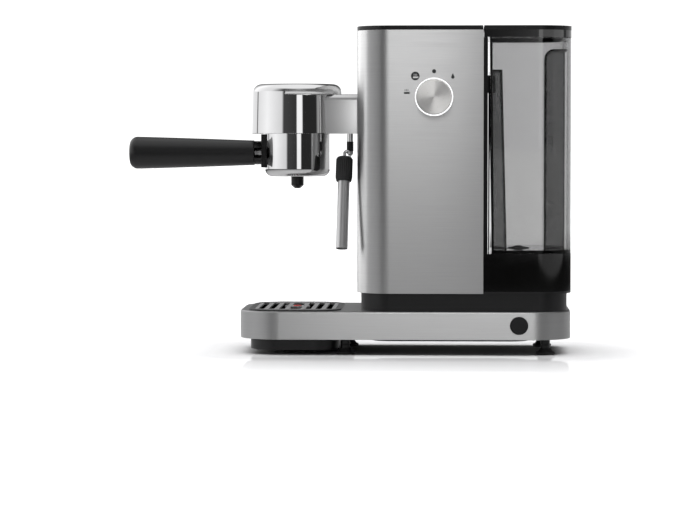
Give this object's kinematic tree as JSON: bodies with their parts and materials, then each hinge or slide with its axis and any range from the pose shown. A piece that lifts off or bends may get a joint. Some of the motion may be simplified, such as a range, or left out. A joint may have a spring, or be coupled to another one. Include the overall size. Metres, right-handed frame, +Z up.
{
  "type": "espresso machine",
  "caption": "Slim home espresso machine: long steel base, upright body, chrome group with portafilter on an arm, steam wand, lift-out drip tray and smoked side water tank.",
  "frame": {"origin": "under the middle of the whole machine's box, on the surface that it stands on", "axes": "+Z up, +X towards the water tank, -Y towards the control panel"},
  "size_m": [0.452, 0.162, 0.3305],
  "materials": {
    "brushed_steel": "brushed",
    "polished_chrome": "polished",
    "satin_steel": "satin",
    "spun_aluminium": "spun",
    "cast_aluminium": "as cast",
    "satin_black": "satin moulded",
    "handle_black": "soft matt",
    "gloss_black": "gloss moulded",
    "smoked_clear": "smoked transparent",
    "black_rubber": "matt",
    "red_silicone": "matt",
    "float_red": "moulded",
    "ring_white": "translucent, lit from behind",
    "sign_ink": "printed",
    "grey_plastic": "moulded",
    "white_plastic": "moulded",
    "clear_hose": "silicone",
    "copper_pipe": "drawn tube",
    "zinc_steel": "plated",
    "board_green": "lacquered board",
    "pump_body": "moulded"
  },
  "bodies": {
    "machine": {"base_pan": "brushed_steel", "bottom_plate": "satin_black", "feet_stems": "satin_black", "feet_pads": "black_rubber", "plinth": "satin_black", "body_shell": "brushed_steel", "body_floor": "gloss_black", "bulkhead": "satin_black", "top_cover": "satin_black", "tank_dock": "gloss_black", "dock_seal": "red_silicone", "arm_housing": "satin_steel", "group_cap": "polished_chrome", "group_head": "cast_aluminium", "group_gasket": "red_silicone", "shower_screen": "satin_steel", "thermoblock": "cast_aluminium", "thermostats": "white_plastic", "pump": "pump_body", "pump_mounts": "black_rubber", "steam_valve": "grey_plastic", "control_board": "board_green", "selector_switch": "grey_plastic", "light_ring": "ring_white", "panel_icons": "sign_ink", "power_switch": "grey_plastic", "mains_gland": "satin_black", "inlet_hose": "clear_hose", "pressure_hose": "clear_hose", "group_pipe": "copper_pipe", "steam_pipe": "copper_pipe", "screws": "zinc_steel"},
    "knob": {"knob_cap": "spun_aluminium", "knob_core": "grey_plastic"},
    "power_button": {"power_button": "satin_black"},
    "drip_tray": {"drip_tray": "satin_black"},
    "grille": {"grille_frame": "satin_black", "drip_grille": "satin_steel"},
    "tray_float": {"tray_float": "float_red"},
    "portafilter": {"portafilter_bowl": "polished_chrome", "filter_basket": "satin_steel", "basket_ring": "zinc_steel", "spout": "satin_black", "handle_collar": "gloss_black", "handle_stud": "polished_chrome", "handle": "handle_black"},
    "wand_swivel": {"wand_tube": "polished_chrome", "wand_collar": "black_rubber"},
    "wand": {"wand_pipe": "polished_chrome", "wand_grip": "black_rubber", "wand_tip": "grey_plastic"},
    "wand_sleeve": {"wand_sleeve": "satin_steel"},
    "tank": {"tank_body": "smoked_clear", "tank_rim": "gloss_black", "tank_valve": "satin_black", "tank_filter": "satin_black", "lid_pin": "zinc_steel"},
    "valve_poppet": {"valve_poppet": "white_plastic"},
    "tank_lid": {"tank_lid": "satin_black"}
  },
  "joints": [
    {"name": "knob_turn", "type": "hinge", "parent": "machine", "child": "knob", "pos_m": [0.08785, -0.074, 0.2592], "axis": [0, 1, 0], "range_deg": [-79, 42]},
    {"name": "power_button_press", "type": "slide", "parent": "machine", "child": "power_button", "axis": [0, 1, 0], "range_m": [0, 0.002], "stiffness_N_per_m": 300},
    {"name": "drip_tray_lift", "type": "slide", "parent": "machine", "child": "drip_tray", "axis": [0, 0, 1], "range_m": [0, 0.045]},
    {"name": "grille_lift", "type": "slide", "parent": "drip_tray", "child": "grille", "axis": [0, 0, 1], "range_m": [0, 0.012]},
    {"name": "float_rise", "type": "slide", "parent": "drip_tray", "child": "tray_float", "axis": [0, 0, 1], "range_m": [0, 0.008]},
    {"name": "portafilter_turn", "type": "hinge", "parent": "machine", "child": "portafilter", "pos_m": [-0.05315, 0.006, 0.2225], "axis": [0, 0, 1], "range_deg": [-50, 0]},
    {"name": "wand_swivel_turn", "type": "hinge", "parent": "machine", "child": "wand_swivel", "pos_m": [0.00185, -0.014, 0.2225], "axis": [0, 0, 1], "range_deg": [-25, 8]},
    {"name": "wand_tilt", "type": "hinge", "parent": "wand_swivel", "child": "wand", "pos_m": [0.00185, -0.014, 0.2032], "axis": [-1, 0, 0], "range_deg": [-14, 10]},
    {"name": "wand_sleeve_pull", "type": "slide", "parent": "wand", "child": "wand_sleeve", "axis": [-0.0203, -0.2419, -0.9701], "range_m": [0, 0.04]},
    {"name": "tank_lift", "type": "slide", "parent": "machine", "child": "tank", "axis": [0, 0, 1], "range_m": [0, 0.15]},
    {"name": "tank_lid_open", "type": "hinge", "parent": "tank", "child": "tank_lid", "pos_m": [0.17315, 0.075, 0.32835], "axis": [-1, 0, 0], "range_deg": [0, 95]},
    {"name": "valve_poppet_travel", "type": "slide", "parent": "tank", "child": "valve_poppet", "axis": [0, 0, 1], "range_m": [0, 0.0015]}
  ]
}
